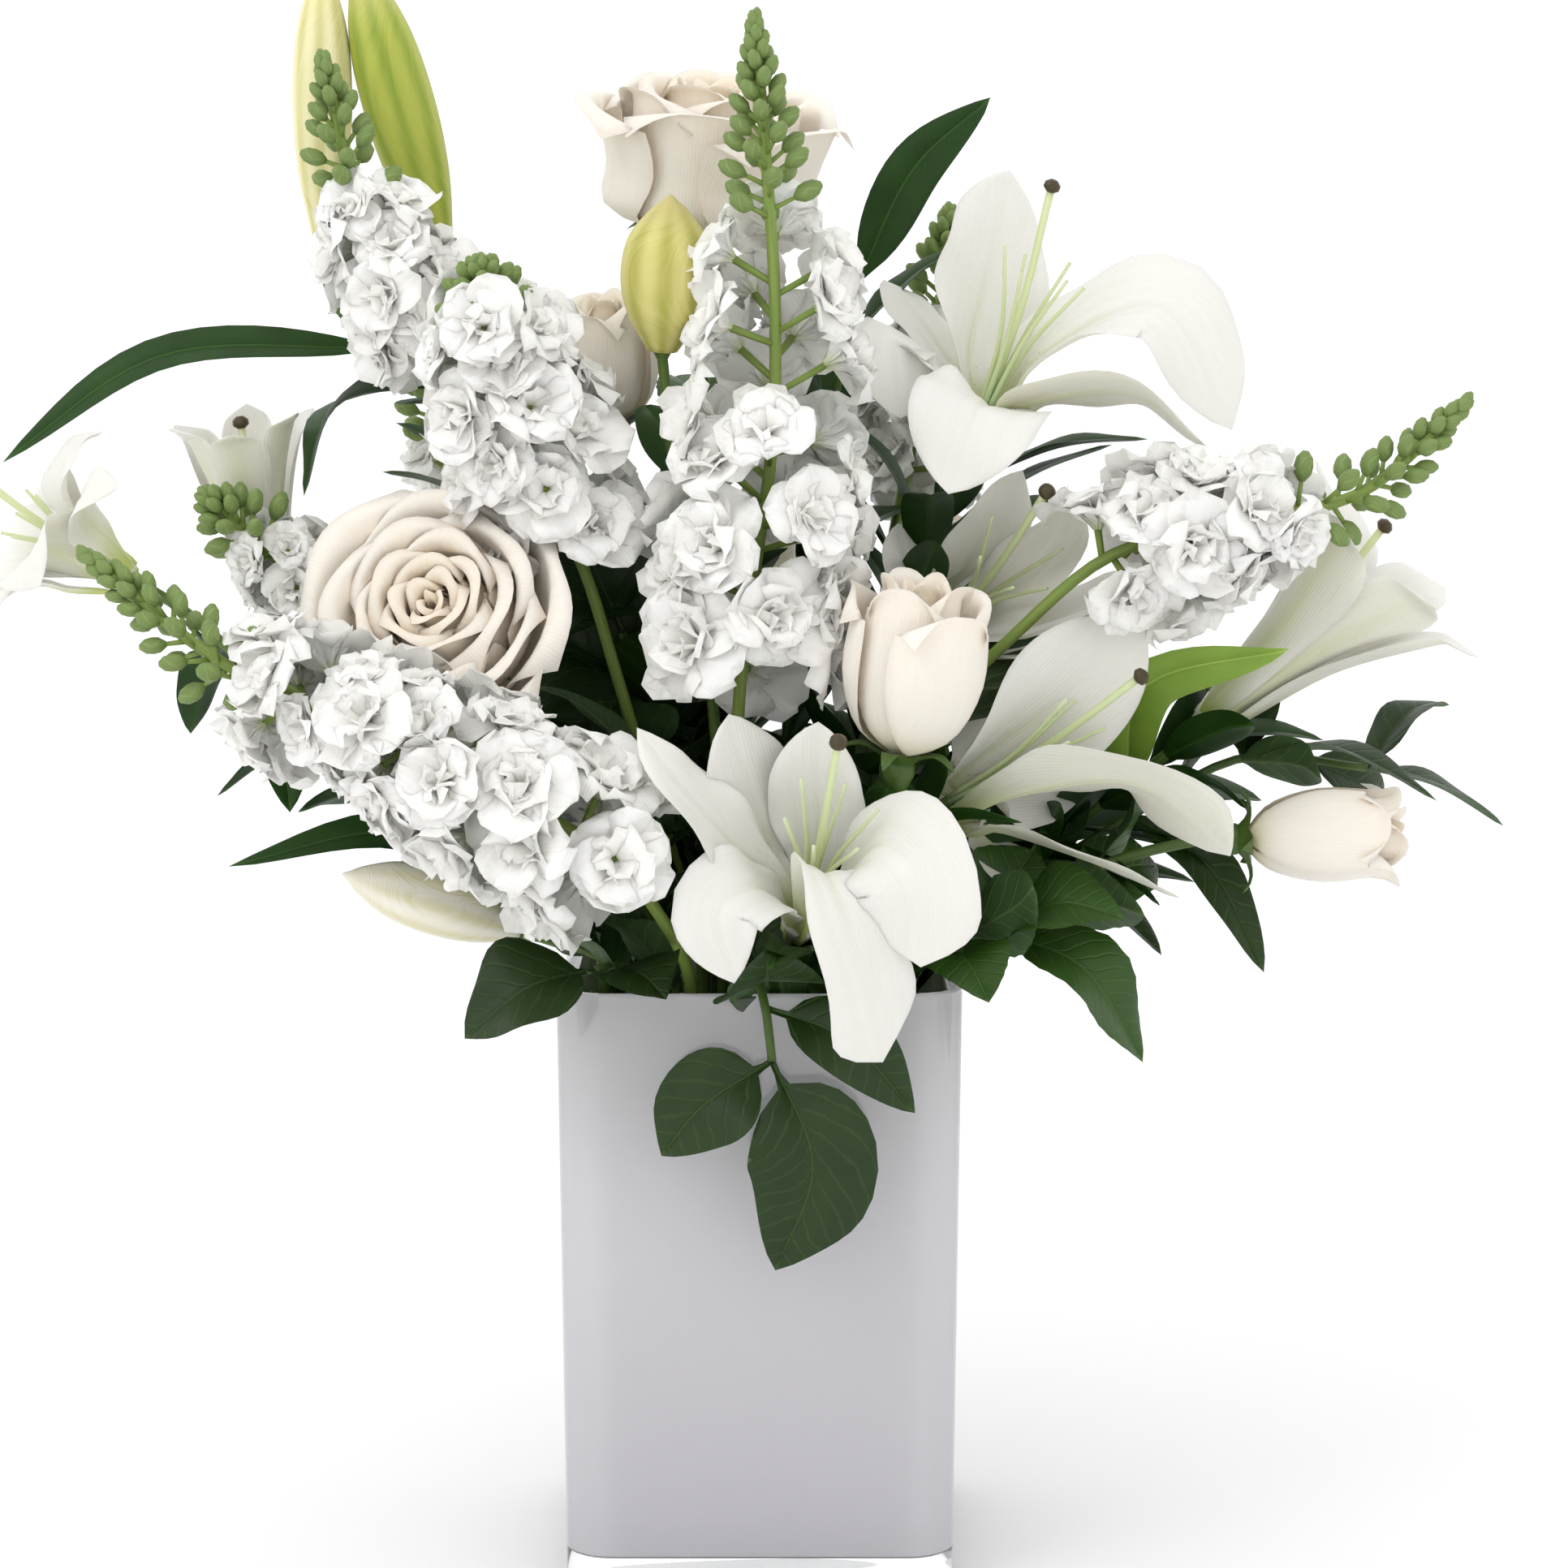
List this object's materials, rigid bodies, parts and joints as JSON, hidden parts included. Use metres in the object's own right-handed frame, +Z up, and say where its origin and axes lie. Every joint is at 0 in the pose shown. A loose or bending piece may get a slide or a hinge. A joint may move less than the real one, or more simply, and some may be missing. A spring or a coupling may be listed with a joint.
{
  "type": "lilies in a vase",
  "caption": "Bouquet of open lilies, stock spikes, roses, lily buds and dark leaves standing in water in a tall square vase of white-lined clear glass.",
  "frame": {"origin": "middle of the vase's foot, on the surface it stands on", "axes": "+Z up through the vase; -Y is the side of the bouquet that faces the viewer; +X to the viewer's right"},
  "size_m": [0.4926, 0.2926, 0.517],
  "materials": {
    "bud_green": "satin yellow-green bud",
    "stem_green": "satin green stalk",
    "bud_cream": "satin pale yellow bud",
    "leaf_green": "waxy dark green leaf",
    "lily_petals": "satin white petal",
    "rose_petals": "matte cream petal",
    "stock_petals": "matte white ruffled petal",
    "stock_stem": "matte pale green stalk and buds",
    "clear_glass": "clear, polished",
    "white_glass": "glossy opaque white glass layer",
    "water": "clear still water"
  },
  "bodies": {
    "root": {"bud_centre": "bud_green", "bud_centre_stem": "stem_green", "bud_low_left": "bud_cream", "bud_low_left_stem": "stem_green", "bud_top_cream": "bud_cream", "bud_top_green": "bud_green", "bud_top_stem": "stem_green", "leaf_top": "leaf_green", "lily_back_bloom": "lily_petals", "lily_back_stem": "stem_green", "lily_far_left_bloom": "lily_petals", "lily_far_right_bloom": "lily_petals", "lily_far_right_stem": "stem_green", "lily_front_bloom": "lily_petals", "lily_front_stem": "stem_green", "lily_left_bloom": "lily_petals", "lily_low_right_bloom": "lily_petals", "lily_low_right_stem": "stem_green", "lily_pair_stem": "stem_green", "lily_right_bloom": "lily_petals", "lily_right_stem": "stem_green", "lily_top_right_bloom": "lily_petals", "lily_top_right_stem": "stem_green", "rose_back_bloom": "rose_petals", "rose_back_stem": "stem_green", "rose_behind_bloom": "rose_petals", "rose_behind_stem": "stem_green", "rose_centre_bloom": "rose_petals", "rose_centre_stem": "stem_green", "rose_leaves_right": "leaf_green", "rose_left_bloom": "rose_petals", "rose_left_stem": "stem_green", "rose_right_bloom": "rose_petals", "rose_right_stem": "stem_green", "rose_top_bloom": "rose_petals", "rose_top_stem": "stem_green", "ruscus_right": "leaf_green", "salal_back": "leaf_green", "salal_front": "leaf_green", "salal_left": "leaf_green", "salal_middle": "leaf_green", "stock_back_left_florets": "stock_petals", "stock_back_left_stem": "stock_stem", "stock_back_right_florets": "stock_petals", "stock_back_right_stem": "stock_stem", "stock_behind_left_florets": "stock_petals", "stock_behind_left_stem": "stock_stem", "stock_centre_florets": "stock_petals", "stock_centre_stem": "stock_stem", "stock_front_left_florets": "stock_petals", "stock_front_left_stem": "stock_stem", "stock_left_florets": "stock_petals", "stock_left_stem": "stock_stem", "stock_right_florets": "stock_petals", "stock_right_stem": "stock_stem", "stock_top_left_florets": "stock_petals", "stock_top_left_stem": "stock_stem", "vase_glass": "clear_glass", "vase_lining": "white_glass", "water": "water"}
  },
  "joints": []
}
